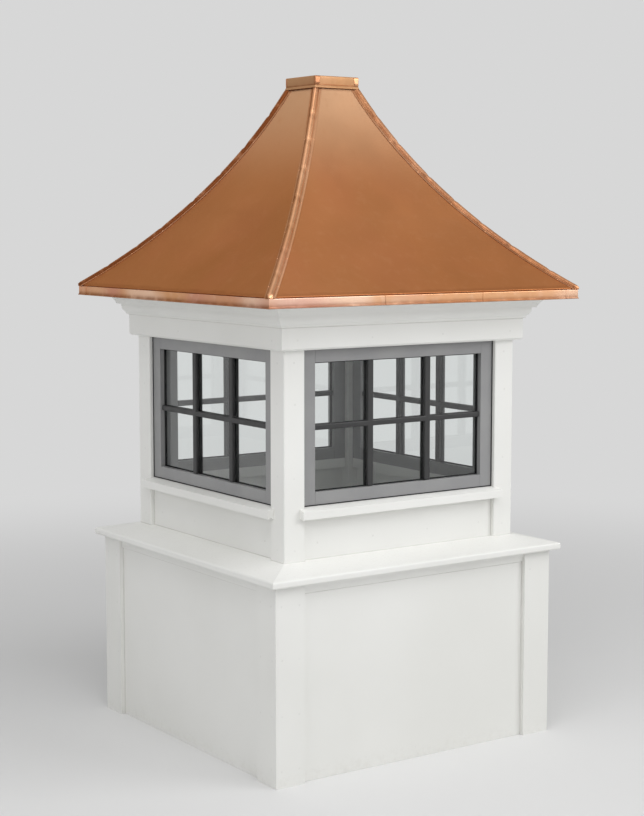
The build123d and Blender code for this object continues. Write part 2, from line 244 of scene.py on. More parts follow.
def sheet_copper(name, main, brown, pale, tint, rough, seams, painted_top_reflection=None, patchy=0.14, blushed=0.35):
    """Mill-finish copper sheet, dulled by handling: broad tarnish, a fine rolling grain, faint
    drips, and a dark line along its seams that is partly tarnish and partly painted shade. Where a
    top colour is given, the sheet is painted paler toward its top as painted reflection."""
    shader = Shader(name, Metallic=1.0, Anisotropic=0.2, Specular_Tint=(0.9, 0.66, 0.48, 1.0))
    broad = shader.noise(2.6, detail=2.0, rough=0.45, distort=0.3)
    colour = shader.blend(shader.spread(broad, 0.5 - patchy, 0.5 + patchy), main, brown)
    blush = shader.noise(4.4, detail=1.0)
    colour = shader.blend(shader.spread(blush, 0.45, 0.75, 0.0, blushed), colour, tint)
    # Painted reflection: the sheet turns paler toward its top
    if painted_top_reflection:
        top_reflection = shader.spread(shader.part("Z"), PALER_FROM, PALER_TO)
        colour = shader.blend(top_reflection, colour, painted_top_reflection)
    mottle = shader.noise(34.0, detail=5.0, rough=0.62)
    colour = shader.blend(shader.spread(mottle, 0.48, 0.85, 0.0, 0.3), colour, pale)
    drips = shader.noise(1.0, detail=4.0, rough=0.6, where=shader.stretched((52.0, 52.0, 2.4)))
    colour = shader.blend(shader.spread(drips, 0.56, 0.8, 0.0, 0.16), colour, brown)
    # Tarnish and painted shade along the seams, in one dark colour
    shader.set("Base Color", shader.blend(seams(shader), colour, TARNISH_AND_SHADE))
    smear = shader.noise(7.0, detail=4.0, rough=0.6)
    shader.set("Roughness", shader.spread(smear, 0.3, 0.72, *rough))
    grain = shader.noise(1.0, detail=2.0, where=shader.stretched((300.0, 300.0, 1400.0)))
    waves = shader.noise(5.0, detail=0.0)
    height = shader.math("ADD", shader.math("MULTIPLY", grain, 0.12), waves)
    shader.bump(height, 0.35 * MM, 0.18)
    return shader.material


def panel_painted_shade(shader):
    """Painted shade on a roof panel: a dark line beside the hip caps and just above the eave."""
    from_hip = shader.add("ShaderNodeAttribute", attribute_name="from_hip").outputs["Fac"]
    uneven = shader.math("MULTIPLY", shader.noise(22.0, detail=4.0), 12 * MM)
    hip = shader.spread(shader.math("ADD", from_hip, uneven), 21 * MM, 31 * MM, 0.24, 0.0)
    level = shader.math("SUBTRACT", shader.part("Z"), uneven)
    eave = shader.spread(level, EAVE_LEVEL, EAVE_LEVEL + 8 * MM, 0.3, 0.0)
    return shader.math("MAXIMUM", hip, eave)


def fold_tarnish_and_shade(shader):
    """A dark line on folded trim where its mesh marks a crease, partly tarnish and partly painted
    shade.
    """
    crease = shader.add("ShaderNodeAttribute", attribute_name="crease").outputs["Fac"]
    return shader.math("MULTIPLY", crease, shader.spread(shader.noise(30.0), 0.2, 0.6, 0.4, 0.8))


WHITE = painted_trim("trim_white_paint", srgb(238, 238, 235), srgb(229, 229, 225))
SOFFIT = painted_trim("soffit_white_paint", srgb(233, 233, 230), srgb(224, 224, 219))
GREY = satin_paint("sash_grey_satin", srgb(150, 150, 150), srgb(143, 143, 144), (0.3, 0.45))
DARK = satin_paint("bar_dark_grey_satin", srgb(51, 51, 51), srgb(46, 46, 47), (0.34, 0.5))
RUBBER = rubber("glazing_gasket")
GLASS = clear_glass("window_glass")
PANEL_COPPER = sheet_copper(
    "copper_panel_sheet",
    main=srgb(191, 129, 85),
    brown=srgb(181, 119, 75),
    pale=srgb(201, 144, 103),
    tint=srgb(194, 121, 86),
    # painted reflection: the colour toward the panels' top
    painted_top_reflection=srgb(211, 166, 129),
    rough=(0.4, 0.455),
    seams=panel_painted_shade,
    patchy=0.3,
    blushed=0.22,
)
CAP_COPPER = sheet_copper(
    "copper_cap_pan",
    main=srgb(190, 151, 115),
    brown=srgb(177, 134, 96),
    pale=srgb(203, 166, 132),
    tint=srgb(192, 147, 115),
    rough=(0.5, 0.62),
    seams=fold_tarnish_and_shade,
    patchy=0.1,
)
HIP_COPPER = sheet_copper(
    "copper_hip_fold",
    main=srgb(221, 169, 131),
    brown=srgb(206, 150, 108),
    pale=srgb(234, 190, 158),
    tint=srgb(214, 155, 128),
    rough=(0.3, 0.42),
    seams=fold_tarnish_and_shade,
)
# The drip edge's pale colour is new, bright copper and partly painted highlight; its purplish blush
# is partly painted reflection.
BRIGHT_COPPER = sheet_copper(
    "copper_drip_bright",
    main=srgb(242, 206, 180),
    brown=srgb(220, 168, 126),
    pale=srgb(250, 224, 206),
    tint=srgb(204, 142, 136),
    rough=(0.38, 0.5),
    seams=fold_tarnish_and_shade,
    patchy=0.07,
    blushed=0.65,
)
CAULK = satin_paint("caulk_bead", srgb(221, 220, 216), srgb(209, 208, 203), (0.28, 0.4))
FILLER = satin_paint("nail_filler", srgb(232, 232, 229), srgb(225, 225, 221), (0.3, 0.4))


# Mesh helpers

MERGE_DISTANCE = 1e-6
EASED_ANGLE = math.radians(32.0)


def turned(point, degrees):
    """A point of the front, or of the front right corner, turned about the upright axis."""
    x, y, z = point
    angle = math.radians(degrees)
    cosine, sine = math.cos(angle), math.sin(angle)
    return Vector((x * cosine - y * sine, x * sine + y * cosine, z))


def wander(place, scale, seed):
    """Smooth noise between -1 and 1, the same on every run."""
    x, y, z = (value * scale for value in place)
    return noise.noise(Vector((x + seed, y - seed, z + 2.3 * seed)))


def add_bevel(thing, width, segments=2):
    bevel = thing.modifiers.new("eased_edges", "BEVEL")
    bevel.width = width
    bevel.segments = segments
    bevel.limit_method = "ANGLE"
    bevel.angle_limit = EASED_ANGLE
    weigh = thing.modifiers.new("even_shading", "WEIGHTED_NORMAL")
    weigh.keep_sharp = False


class Mesh:
    """Collects points and faces, and makes them into one piece. Each point carries a number that
    the material reads under the name of the mark."""

    def __init__(self, mark="crease"):
        self.mark = mark
        self.points = []
        self.marks = []
        self.faces = []

    def point(self, place, value=0.0):
        self.points.append(Vector(place))
        self.marks.append(value)
        return len(self.points) - 1

    def grid(self, rows, around=False, ends=False, marks=None):
        """Faces between rows of places. around closes each row on itself, ends caps both ends,
        and marks has a number for each place."""
        marks = marks or [[0.0] * len(row) for row in rows]
        numbered = [
            [self.point(place, value) for place, value in zip(row, values)]
            for row, values in zip(rows, marks)
        ]
        count = len(rows[0])
        for low, high in zip(numbered, numbered[1:]):
            for i in range(count if around else count - 1):
                j = (i + 1) % count
                self.faces.append((low[i], low[j], high[j], high[i]))
        if ends:
            self.faces.append(tuple(reversed(numbered[0])))
            self.faces.append(tuple(numbered[-1]))

    def dome(self, centre, normal, radius, height, sides=12, rings=3):
        """A low round head on a surface, with its foot sunk a little into it."""
        normal = Vector(normal).normalized()
        side = normal.orthogonal().normalized()
        other = normal.cross(side)
        rows = []
        for ring in range(rings + 1):
            angle = ring / (rings + 0.35) * math.pi / 2
            reach, rise = radius * math.cos(angle), height * math.sin(angle)
            rows.append(
                [
                    centre
                    + normal * rise
                    + (side * math.cos(turn) + other * math.sin(turn)) * reach
                    for turn in (2 * math.pi * i / sides for i in range(sides))
                ]
            )
        foot = [place - normal * height * 0.6 for place in rows[0]]
        self.grid([foot, *rows], around=True, ends=True)

    def piece(self, name, material, degrees=0.0, sharp=32.0, replaces=(), bevel=None):
        """Makes the piece, turned by so many degrees. An edge that folds by more than sharp
        degrees is sharp, and bevel is the width and segments of its eased edges."""
        mesh = bpy.data.meshes.new(name)
        points = [turned(place, degrees) for place in self.points]
        mesh.from_pydata(points, [], self.faces)
        layer = mesh.attributes.new(self.mark, "FLOAT", "POINT")
        layer.data.foreach_set("value", self.marks)
        build = bmesh.new()
        build.from_mesh(mesh)
        bmesh.ops.remove_doubles(build, verts=build.verts, dist=MERGE_DISTANCE)
        bmesh.ops.dissolve_degenerate(build, edges=build.edges, dist=MERGE_DISTANCE)
        bmesh.ops.recalc_face_normals(build, faces=build.faces)
        for face in build.faces:
            face.smooth = True
        for edge in build.edges:
            edge.smooth = edge.calc_face_angle(0.0) < math.radians(sharp)
        build.to_mesh(mesh)
        build.free()
        mesh.materials.append(material)
        made = bpy.data.objects.new(name, mesh)
        bpy.context.scene.collection.objects.link(made)
        if bevel:
            add_bevel(made, *bevel)
        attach(made, "root")
        if replaces:
            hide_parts(*replaces)
        return made


# The frame's own nodes that stay: (start of the name, material, width of the eased edges in mm)

KEPT_NODES = [
    ("base_wall", WHITE, 0.9),
    ("base_corner", WHITE, 0.9),
    ("base_cove", WHITE, 0.6),
    ("base_cap", WHITE, 0.9),
    ("corner_post", WHITE, 0.5),
    ("apron", WHITE, 0.9),
    ("window_sills", WHITE, 0.9),
    ("frieze", WHITE, 0.9),
    ("crown", WHITE, 0.9),
    ("roof_deck", SOFFIT, 0.8),
    ("window_frame", GREY, 0.8),
    ("window_panes", GLASS, 0.4),
]


def keep_node(name, material, width):
    """Keeps a frame node, with eased edges and a better material."""
    thing = nodes[name]
    thing.data.materials.clear()
    thing.data.materials.append(material)
    if "custom_normal" in thing.data.attributes:
        thing.data.attributes.remove(thing.data.attributes["custom_normal"])
    for face in thing.data.polygons:
        face.use_smooth = True
    weld = thing.modifiers.new("weld", "WELD")
    weld.merge_threshold = 1e-5
    add_bevel(thing, width)


for name in nodes:
    for start, material, width in KEPT_NODES:
        if name.startswith(start):
            keep_node(name, material, width * MM)


# Small trim: caulk beads in the joints, filled nail heads, and a bed moulding under the soffit

NAIL_RADIUS = 2.9 * MM
NAIL_RISE = 0.14 * MM
BOARD_NAILS_ACROSS = (386 * MM, 438 * MM)
BOARD_NAIL_LEVELS = (0.045, 0.185, 0.33, 0.47)
POST_NAILS_ACROSS = 349 * MM
POST_NAIL_LEVELS = (0.592, 0.78, 0.97, 1.075)
APRON_NAIL_SPACING = 0.18
APRON_NAIL_LEVEL = 0.602
FRIEZE_NAIL_SPACING = 0.236
FRIEZE_NAIL_LEVEL = 1.133
WALL_NAIL_SPACING = 0.168
WALL_NAIL_LEVEL = 0.03
# The bed moulding's outline: (reach beyond the crown, depth below the soffit) in millimetres
BED_MOULD = [
    (-16.0, 0.1), (17.0, 0.1), (17.0, 5.0), (16.4, 5.7), (14.2, 7.0), (11.2, 9.0), (8.4, 11.4),
    (5.6, 14.2), (3.0, 17.4), (0.8, 20.6), (-1.2, 24.0), (-3.0, 27.6), (-3.2, 29.6), (-4.0, 30.4),
    (-16.0, 30.4),
]
BED_MOULD_COLUMNS = 8


def bead(mesh, start, end, along_one, along_other, size):
    """A hollow bead of caulk in the corner between two surfaces, a little uneven."""
    one, other = Vector(along_one) * size, Vector(along_other) * size
    rows = []
    for share in (0.0, 0.25, 0.5, 0.75, 1.0):
        corner = Vector(start).lerp(Vector(end), share)
        swell = 1 + 0.18 * wander(corner, 6.0, 4.4)
        rows.append(
            [
                corner - (one + other) * 0.06,
                corner + one * swell,
                corner + (one * 0.5 + other * 0.26) * swell,
                corner + (one * 0.26 + other * 0.5) * swell,
                corner + other * swell,
            ]
        )
    mesh.grid(rows, around=True, ends=True)


def caulk(side):
    """Beads down the corner boards and posts, and along the cove, the apron and the crown."""
    beads = Mesh()
    down, up, out = (0, 0, -1), (0, 0, 1), (0, -1, 0)
    for sign in (-1, 1):
        inward = (-sign, 0, 0)
        board = sign * BOARD_EDGE
        bead(beads, (board, -WALL_REACH, MM), (board, -WALL_REACH, COVE_FOOT), inward, out, 2.4 * MM)
        post = sign * POST_EDGE
        foot, top = (post, -APRON_REACH, BODY_FOOT), (post, -APRON_REACH, SILL_FOOT)
        bead(beads, foot, top, inward, out, 2.2 * MM)
        near = (post, -BODY_REACH, BODY_FOOT)
        far = (sign * (BODY_REACH - 3 * MM), -BODY_REACH, BODY_FOOT)
        bead(beads, near, far, out, up, 2.0 * MM)
    for reach, level, half in (
        (WALL_REACH, COVE_FOOT, BOARD_EDGE),
        (APRON_REACH, SILL_FOOT, POST_EDGE),
        (FRIEZE_REACH, crown_low.z, FRIEZE_REACH),
    ):
        bead(beads, (-half, -reach, level), (half, -reach, level), down, out, 2.2 * MM)
    left, right = (-POST_EDGE, -APRON_REACH, BODY_FOOT), (POST_EDGE, -APRON_REACH, BODY_FOOT)
    bead(beads, left, right, out, up, 2.2 * MM)
    beads.piece(f"trim_caulk_{side}", CAULK, SIDES[side], sharp=70)


def filled_nails(side, seed):
    """Filled nail heads: pairs up the corner boards, one line up the posts, and rows along the
    long boards."""
    spots = []
    for level in BOARD_NAIL_LEVELS:
        for across in BOARD_NAILS_ACROSS:
            spots += [(sign * across, BASE_REACH, level) for sign in (-1, 1)]
    for level in POST_NAIL_LEVELS:
        spots += [(sign * POST_NAILS_ACROSS, BODY_REACH, level) for sign in (-1, 1)]
    for place in (-1.5, -0.5, 0.5, 1.5):
        spots.append((place * APRON_NAIL_SPACING, APRON_REACH, APRON_NAIL_LEVEL))
        spots.append((place * FRIEZE_NAIL_SPACING, FRIEZE_REACH, FRIEZE_NAIL_LEVEL))
    for place in (-2, -1, 0, 1, 2):
        spots.append((place * WALL_NAIL_SPACING, WALL_REACH, WALL_NAIL_LEVEL))
    heads = Mesh()
    for x, reach, level in spots:
        x += wander((x, reach, level), 90.0, seed) * 5 * MM
        level += wander((x, reach, level), 70.0, seed + 9) * 4 * MM
        heads.dome(Vector((x, -reach, level)), (0, -1, 0), NAIL_RADIUS, NAIL_RISE, sides=14, rings=2)
    heads.piece(f"trim_nail_fill_{side}", FILLER, SIDES[side], sharp=70)


def bed_mould(side):
    """A small cove moulding in the corner between the crown and the soffit, mitred at its ends."""
    rows = []
    for i in range(BED_MOULD_COLUMNS + 1):
        row = []
        for beyond, depth in BED_MOULD:
            reach = -crown_low.y + beyond * MM
            row.append((reach * (2 * i / BED_MOULD_COLUMNS - 1), -reach, crown_high.z - depth * MM))
        rows.append(row)
    mould = Mesh()
    mould.grid(rows, around=True, ends=True)
    mould.piece(f"trim_bed_mould_{side}", WHITE, SIDES[side], sharp=40)


for index, side in enumerate(SIDES):
    caulk(side)
    filled_nails(side, seed=5.3 + 3.9 * index)
    bed_mould(side)


# The flare, in the upright plane (u, v): u runs out from the centre line, v is the level

def flare_arc():
    """The arc's radius, its centre outside the roof, and its angles at the eave and the knee."""
    run = EAVE_REACH - COLLAR_REACH
    chord = Vector((run, FLARE_RISE)).length
    radius = (chord**2 / 4 + FLARE_SAG**2) / (2 * FLARE_SAG)
    offset = radius - FLARE_SAG
    centre_u = (EAVE_REACH + COLLAR_REACH) / 2 + offset * FLARE_RISE / chord
    centre_v = EAVE_LEVEL + FLARE_RISE / 2 + offset * run / chord
    eave_angle = math.atan2(EAVE_LEVEL - centre_v, EAVE_REACH - centre_u)
    knee_angle = math.atan2(EAVE_LEVEL + FLARE_RISE - centre_v, COLLAR_REACH - centre_u)
    if knee_angle > 0:
        knee_angle -= 2 * math.pi
    return radius, centre_u, centre_v, eave_angle, knee_angle


ARC_RADIUS, ARC_U, ARC_V, EAVE_ANGLE, KNEE_ANGLE = flare_arc()


def flare(share):
    """The flare's place (u, v) and outward normal, from 0 at the eave to 1 at the knee."""
    angle = EAVE_ANGLE + (KNEE_ANGLE - EAVE_ANGLE) * share
    normal = (-math.cos(angle), -math.sin(angle))
    return (ARC_U - ARC_RADIUS * normal[0], ARC_V - ARC_RADIUS * normal[1]), normal


def flare_share(level):
    """The share along the flare at which it reaches a level."""
    angle = -math.pi - math.asin((level - ARC_V) / ARC_RADIUS)
    return (angle - EAVE_ANGLE) / (KNEE_ANGLE - EAVE_ANGLE)


# Roof panels: flared copper sheets with a rolled hem

PANEL_ROWS = 46
PANEL_COLUMNS = 44
SHEET_THICKNESS = 0.8 * MM
HEM_RADIUS = 2.2 * MM
HEM_LIFT = 4.6 * MM
HEM_TURN = 215
HEM_STEPS = 7
HEM_WAVE = 0.35 * MM
# The depth of the sheet's dents, and how far it lies under the flare, in millimetres
BROAD_DENT = 0.3
SMALL_DENT = 0.05
SHEET_SINK = 0.6


def flare_rows():
    """Rows of (place, normal) up the flare and its upstand."""
    start = flare_share(EAVE_LEVEL + HEM_LIFT)
    rows = [flare(start + (1 - start) * i / PANEL_ROWS) for i in range(PANEL_ROWS + 1)]
    under_skirt = flare(flare_share(SKIRT_FOOT + 1.5 * MM))
    rows.append(under_skirt)
    rows.append(((under_skirt[0][0], UPSTAND_TOP - 6 * MM), (1.0, 0.0)))
    return rows


def hem_rows(first_row):
    """Rows of (place, normal) round the hem, up to the first row of the flare."""
    (u, v), normal = first_row
    centre_u, centre_v = u - normal[0] * HEM_RADIUS, v - normal[1] * HEM_RADIUS
    start = math.atan2(normal[1], normal[0])
    rows = []
    for i in range(HEM_STEPS, 0, -1):
        angle = start - math.radians(HEM_TURN) * i / HEM_STEPS
        away = (math.cos(angle), math.sin(angle))
        rows.append(((centre_u + away[0] * HEM_RADIUS, centre_v + away[1] * HEM_RADIUS), away))
    return rows


def slackness(across, level):
    """1 over the middle of a sheet, and 0 along its edges, where it is held."""
    up = (level - EAVE_LEVEL) / FLARE_RISE
    return max(0.0, 1 - across**4) * min(1.0, max(0.0, up) * 7) * min(1.0, max(0.0, 1 - up) * 6)


def roof_panel(side, seed):
    """One flared sheet with a rolled hem at the eave and slight oil-canning over its face."""
    rows = flare_rows()
    hem = hem_rows(rows[0])
    places, from_hip = [], []
    for index, ((u, v), (normal_u, normal_v)) in enumerate(hem + rows):
        row, distances = [], []
        for i in range(PANEL_COLUMNS + 1):
            across = -1 + 2 * i / PANEL_COLUMNS
            slack = slackness(across, v)
            dent, wave = 0.0, 0.0
            if index >= len(hem):
                spot = Vector((across * u, 0.0, v))
                broad, small = wander(spot, 3.4, seed), wander(spot, 8.0, seed + 5)
                dent = (broad * BROAD_DENT + small * SMALL_DENT) * slack
            if index < len(hem) + 2:
                wave = wander(Vector((across * u, 0, 0)), 9.0, seed + 3) * HEM_WAVE
            sink = (dent - SHEET_SINK * slack) * MM
            reach, level = u + normal_u * sink, v + normal_v * sink + wave
            row.append((across * reach, -reach, level))
            distances.append((1 - abs(across)) * u)
        places.append(row)
        from_hip.append(distances)
    sheet = Mesh("from_hip")
    sheet.grid(places, marks=from_hip)
    made = sheet.piece(
        f"copper_panel_{side}", PANEL_COPPER, SIDES[side], sharp=60,
        replaces=[f"roof_panel_{side}"],
    )
    solid = made.modifiers.new("sheet_thickness", "SOLIDIFY")
    solid.thickness = SHEET_THICKNESS
    solid.offset = -1


for index, side in enumerate(SIDES):
    roof_panel(side, seed=11.3 + 7.7 * index)


# Hip caps: two hemmed wings with a crimped roll between, held by rivets

ROOT_TWO = math.sqrt(2)
HIP_OUTWARD = Vector((1.0, -1.0, 0.0)) / ROOT_TWO
HIP_ACROSS = Vector((-1.0, -1.0, 0.0)) / ROOT_TWO
HIP_ROWS = 84
# How many rows at the top are drawn back where the cap is cut off
CUT_ROWS = 5
# The flange is (reach, rise) in millimetres, and the roll over the hip is half an ellipse, by
# degrees. Its underside is closed by the last points.
FLANGE = [(14.0, 0.0), (14.4, 0.7), (14.0, 1.5), (12.6, 1.6), (11.0, 1.35), (9.9, 1.4)]
ROLL = [6, 20, 34, 48, 62, 76, 90]
ROLL_HALF_WIDTH = 9.0
ROLL_TOP = 7.2
UNDERSIDE_REACH = 7.0
UNDERSIDE_SINK = 0.2
UNDERSIDE_CREASES = [0.0, 0.0, 0.0]
CRIMP_PITCH = 106 * MM
CRIMP_HALF_WIDTH = 9 * MM
CRIMP_NARROWS = 0.2
CRIMP_LOWERS = 0.16
# Each cap is painted darker along one side, as painted shade. The sides are named as on the front
# right corner: front is the side of the front panel, and right that of the right panel.
SHADED_SIDE_CREASES = [0.8, 0.5, 0.4, 0.35, 0.4, 0.8, 1.0, 1.0, 0.8, 0.55, 0.35, 0.2, 0.0]
PLAIN_CREASES = [0.6, 0.2, 0.0, 0.0, 0.0, 0.25, 0.2, 0.0, 0.0, 0.0, 0.0, 0.0, 0.0]
SHADED_SIDES = {
    "front_right": "front", "back_right": "front", "back_left": "right", "front_left": "front",
}
# On one hip the roll's shaded side is painted darker still, as painted shade
ROLL_SHADE = {"back_left": 0.6}
# The top rows, under the roof cap's skirt, are darker: partly tarnish and partly painted shade
TOP_TARNISH_AND_SHADE = 0.9
RIVET_COUNT = 7
RIVET_START = 55 * MM
RIVET_STOP = 65 * MM
RIVET_REACH = 12.0
RIVET_RADIUS = 2.1 * MM
RIVET_RISE = 1.2 * MM


def hip_places():
    """Places up the hip: (u, v, side normal, hip normal, length so far)."""
    start = flare_share(EAVE_LEVEL + 0.3 * MM)
    listed = [flare(start + (1 - start) * i / HIP_ROWS) for i in range(HIP_ROWS + 1)]
    listed.append(flare(flare_share(SKIRT_FOOT + 8 * MM)))
    places = []
    length, before = 0.0, None
    for (u, v), (normal_u, normal_v) in listed:
        place = Vector((ROOT_TWO * u, v))
        if before is not None:
            length += (place - before).length
        before = place
        size = math.hypot(normal_u, ROOT_TWO * normal_v)
        hip_normal = (normal_u / size, ROOT_TWO * normal_v / size)
        places.append((u, v, (normal_u, normal_v), hip_normal, length))
    return places


def panel_normal(normal, side):
    if side == "front":
        return Vector((0.0, -normal[0], normal[1]))
    return Vector((normal[0], 0.0, normal[1]))


def beside_hip(u, v, normal, reach, rise, side):
    """A place over the panel on one side of the hip, by its reach and rise in mm."""
    along = ROOT_TWO * reach * MM
    foot = Vector((u - along, -u, v)) if side == "front" else Vector((u, along - u, v))
    return foot + panel_normal(normal, side) * rise * MM


def hip_section(place, seed):
    """The cap's closed outline at one place up the hip, from its front wing over to its right."""
    u, v, normal, hip_normal, length = place
    ridge = Vector((u, -u, v))
    ridge_normal = HIP_OUTWARD * hip_normal[0] + Vector((0, 0, 1)) * hip_normal[1]
    spot = (length, 0, 0)
    phase = (length + 0.02 * wander(spot, 5.0, seed)) / CRIMP_PITCH
    near = abs(phase - round(phase)) * CRIMP_PITCH
    crimp = max(0.0, 1 - (near / CRIMP_HALF_WIDTH) ** 2) ** 2
    lean = (wander(spot, 8.0, seed) * 0.9 + wander(spot, 26.0, seed + 4) * 0.4) * MM

    def wing(reach, rise, side):
        return beside_hip(u, v, normal, reach, rise, side)

    roll_foot = (wing(ROLL_HALF_WIDTH, 1.0, "front") - ridge).dot(ridge_normal) / MM

    def roll(degrees, sign):
        angle = math.radians(degrees)
        reach = ROLL_HALF_WIDTH * math.cos(angle) * (1 - CRIMP_NARROWS * crimp) * MM
        height = (ROLL_TOP - roll_foot) * math.sin(angle) * (1 - CRIMP_LOWERS * crimp)
        rise = (roll_foot + height) * MM
        return ridge + ridge_normal * rise + HIP_ACROSS * (sign * reach + lean * math.sin(angle))

    outline = [wing(reach, rise, "front") for reach, rise in FLANGE]
    outline += [roll(degrees, 1) for degrees in ROLL]
    outline += [roll(degrees, -1) for degrees in reversed(ROLL[:-1])]
    outline += [wing(reach, rise, "right") for reach, rise in reversed(FLANGE)]
    outline.append(wing(UNDERSIDE_REACH, -UNDERSIDE_SINK, "right"))
    outline.append(ridge - ridge_normal * UNDERSIDE_SINK * MM)
    outline.append(wing(UNDERSIDE_REACH, -UNDERSIDE_SINK, "front"))
    limit = EAVE_REACH - 0.1 * MM
    for point in outline:
        point.x = min(point.x, limit)
        point.y = max(point.y, -limit)
        point.z = max(point.z, EAVE_LEVEL + 0.1 * MM)
    return outline


def cut_level(rows, ceiling, kept):
    """Draw the rows after the kept one back along their own lines, so that the last one lies at
    a level."""
    last = len(rows) - 1
    for column in range(len(rows[0])):
        line = [row[column] for row in rows]
        over = next(i for i, place in enumerate(line) if place.z > ceiling)
        cross = over - 1 + (ceiling - line[over - 1].z) / (line[over].z - line[over - 1].z)
        for i in range(kept + 1, last + 1):
            at = kept + (cross - kept) * (i - kept) / (last - kept)
            low = min(int(at), over - 1)
            rows[i][column] = line[low].lerp(line[low + 1], at - low)


def hip_creases(corner):
    """The tarnish and painted shade at each point of the outline."""
    flat = len(FLANGE)
    extra = ROLL_SHADE.get(corner, 0.0)
    shaded = SHADED_SIDE_CREASES[:flat] + [crease + extra for crease in SHADED_SIDE_CREASES[flat:]]
    front, right = shaded, PLAIN_CREASES
    if SHADED_SIDES[corner] == "right":
        front, right = right, front
    return front + right[-2::-1] + UNDERSIDE_CREASES


def hip_cap(corner, seed):
    """One hip's cap, cut off level under the roof cap's skirt, and the rivets along its wings."""
    places = hip_places()
    rows = [hip_section(place, seed) for place in places]
    cut_level(rows, SKIRT_FOOT - 0.1 * MM, kept=len(rows) - 1 - CUT_ROWS)
    creases = hip_creases(corner)
    # Tarnish and painted shade on the top rows, under the roof cap's skirt
    marks = [creases] * (len(rows) - 1) + [[max(crease, TOP_TARNISH_AND_SHADE) for crease in creases]]
    strip = Mesh()
    strip.grid(rows, around=True, ends=True, marks=marks)
    strip.piece(
        f"copper_hip_cap_{corner}", HIP_COPPER, CORNERS[corner], sharp=48,
        replaces=[f"hip_cap_{corner}"],
    )
    rivets = Mesh()
    riveted = places[-1][4] - RIVET_START - RIVET_STOP
    for k in range(RIVET_COUNT):
        target = RIVET_START + riveted * k / (RIVET_COUNT - 1)
        u, v, normal, _, _ = min(places, key=lambda place: abs(place[4] - target))
        drift = wander((target, 1.0, 0), 31.0, seed) * 0.36
        for side, reach in (("front", RIVET_REACH + drift), ("right", RIVET_REACH - drift)):
            head = beside_hip(u, v, normal, reach, 1.2, side)
            rivets.dome(head, panel_normal(normal, side), RIVET_RADIUS, RIVET_RISE)
    rivets.piece(f"copper_hip_rivets_{corner}", HIP_COPPER, CORNERS[corner], sharp=50)


for index, corner in enumerate(CORNERS):
    hip_cap(corner, seed=3.1 + 9.2 * index)


# Drip edge: a folded band with a rolled foot, lapped twice, and a soldered wrap at each corner

DRIP_HEM = 1.5 * MM
DRIP_HEM_TURN = (70, 40, 0, -40, -80, -120, -160)
DRIP_THICKNESS = 1.2 * MM
FASCIA = EAVE_REACH - 3 * MM
FLANGE_EDGE = FASCIA - 12 * MM
LAP_PLACES = (-140 * MM, 180 * MM)
LAP_FRONT = 13 * MM
LAP_TAIL = 80 * MM
CORNER_WRAP = 46 * MM
# How far a lap or a wrap stands proud of the band, in millimetres
LAP_PROUD = 0.9
LAP_TAIL_PROUD = 0.03
WRAP_PROUD = 0.7
BAND_COLUMNS = 150
LAP_COLUMNS = 14
WRAP_COLUMNS = 8


def drip_profile(proud):
    """A closed outline of (u, v, slack, crease), standing proud of the strip by so much: slack is
    how freely the metal waves there. The crease marks make the band darker toward its foot."""
    hem_u = EAVE_REACH - 0.9 * MM - DRIP_HEM + proud
    hem_v = DRIP_FOOT + DRIP_HEM
    inside = FASCIA - DRIP_THICKNESS
    outline = [
        (FLANGE_EDGE, EAVE_LEVEL - 0.1 * MM + proud / 4, 0.0, 0.0),
        (FASCIA - 1.2 * MM + proud, EAVE_LEVEL - 0.1 * MM + proud / 4, 0.3, 0.0),
        (FASCIA - 0.4 * MM + proud, EAVE_LEVEL - 0.4 * MM, 0.6, 0.0),
        (FASCIA + proud, EAVE_LEVEL - 1.3 * MM, 0.9, 0.0),
        (FASCIA + proud, EAVE_LEVEL - 2.6 * MM, 0.95, 0.0),
        (FASCIA + proud, EAVE_LEVEL - 7 * MM, 1.0, 0.0),
        (FASCIA + proud, EAVE_LEVEL - 13 * MM, 1.0, 0.16),
        (FASCIA + proud, DRIP_FOOT + 6.5 * MM, 0.95, 0.75),
        (FASCIA + 0.1 * MM + proud, DRIP_FOOT + 4.6 * MM, 0.9, 0.9),
        (FASCIA + 0.3 * MM + proud, DRIP_FOOT + 3.5 * MM, 0.9, 1.0),
    ]
    for degrees in DRIP_HEM_TURN:
        angle = math.radians(degrees)
        u, v = hem_u + DRIP_HEM * math.cos(angle), hem_v + DRIP_HEM * math.sin(angle)
        outline.append((u, v, 0.4, 0.8))
    outline += [
        (inside, DRIP_FOOT + 4.5 * MM, 0.5, 0.6),
        (inside, EAVE_LEVEL - 2 * MM, 0.3, 0.6),
        (inside - 0.4 * MM, EAVE_LEVEL - 1.4 * MM, 0.0, 0.6),
        (FLANGE_EDGE, EAVE_LEVEL - 1.4 * MM, 0.0, 0.6),
    ]
    return outline


def drip_strip(mesh, start, end, proud_start, proud_end, columns, seed):
    """A length of the band; a start or end of None is mitred at the corner."""
    rows, marks = [], []
    for i in range(columns + 1):
        proud = proud_start + (proud_end - proud_start) * i / columns
        row, creases = [], []
        for u, v, slack, crease in drip_profile(proud * MM):
            low = -u if start is None else start
            high = u if end is None else end
            x = low + (high - low) * i / columns
            calm = min(1.0, (FASCIA - abs(x)) / (30 * MM)) if abs(x) < FASCIA else 0.0
            wave = wander((x, 0, v), 7.0, seed) * 0.3 + wander((x, 0, v), 19.0, seed + 3) * 0.08
            move = wave * slack * calm * MM
            row.append((x, -min(u + move, EAVE_REACH), v + move * 0.25))
            creases.append(crease)
        rows.append(row)
        marks.append(creases)
    mesh.grid(rows, around=True, ends=True, marks=marks)


